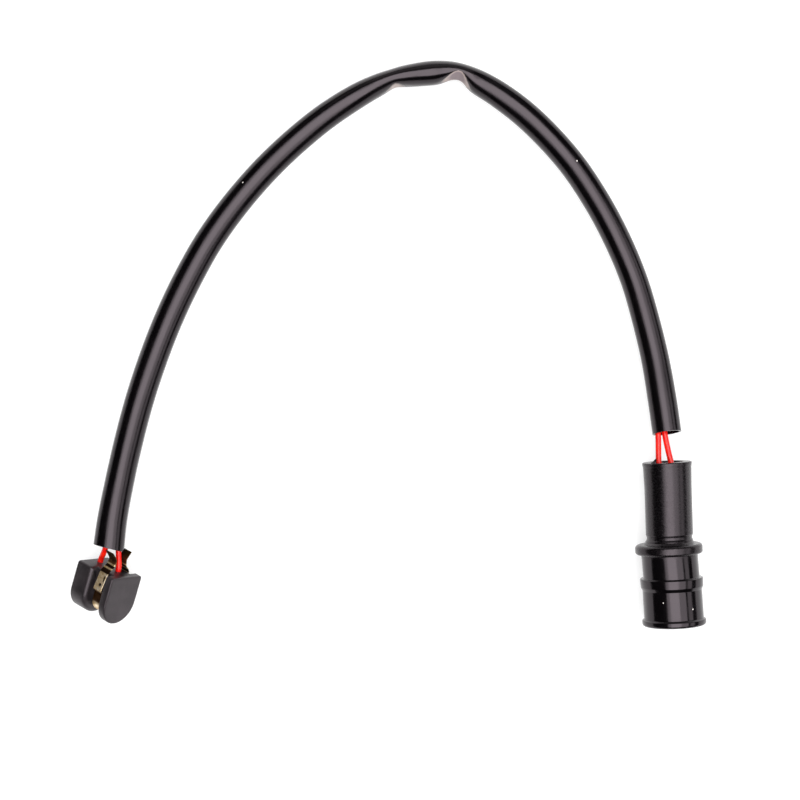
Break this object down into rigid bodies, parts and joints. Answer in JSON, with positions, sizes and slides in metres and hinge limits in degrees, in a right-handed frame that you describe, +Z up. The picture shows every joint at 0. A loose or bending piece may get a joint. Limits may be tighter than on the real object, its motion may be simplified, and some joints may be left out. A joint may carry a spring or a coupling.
{
  "type": "brake pad wear sensor",
  "caption": "Brake pad wear sensor with a moulded head and spring clip, red wires in a black plastic sleeve, and a round black plug.",
  "frame": {"origin": "on the surface it lies on, under the middle of the box that holds the head and the plug", "axes": "+X from the head towards the plug, +Y from the plug's mouth towards the bend of the lead, +Z up"},
  "size_m": [0.1625, 0.1452, 0.0172],
  "materials": {
    "head_moulding": "fine moulded grain, dull",
    "plug_rubber": "smooth with a soft sheen, duller on the rear tube",
    "sleeve_vinyl": "smooth, semi-gloss",
    "carrier_nylon": "moulded, dull",
    "wire_insulation": "smooth, semi-gloss",
    "spring_steel": "rolled strip with a bronze passivation",
    "contact_brass": "turned, bright",
    "conductor_copper": "tinned copper, bright"
  },
  "bodies": {
    "root": {"sensor_body": "head_moulding", "spring_clip": "spring_steel", "wear_loop": "conductor_copper", "wire_a": "wire_insulation", "wire_b": "wire_insulation", "protective_sleeve": "sleeve_vinyl", "plug_housing": "plug_rubber", "wire_grommet": "plug_rubber", "contact_carrier": "carrier_nylon", "contact_pin_a": "contact_brass", "contact_pin_b": "contact_brass", "conductor_end_a": "conductor_copper", "conductor_end_b": "conductor_copper"}
  },
  "joints": []
}
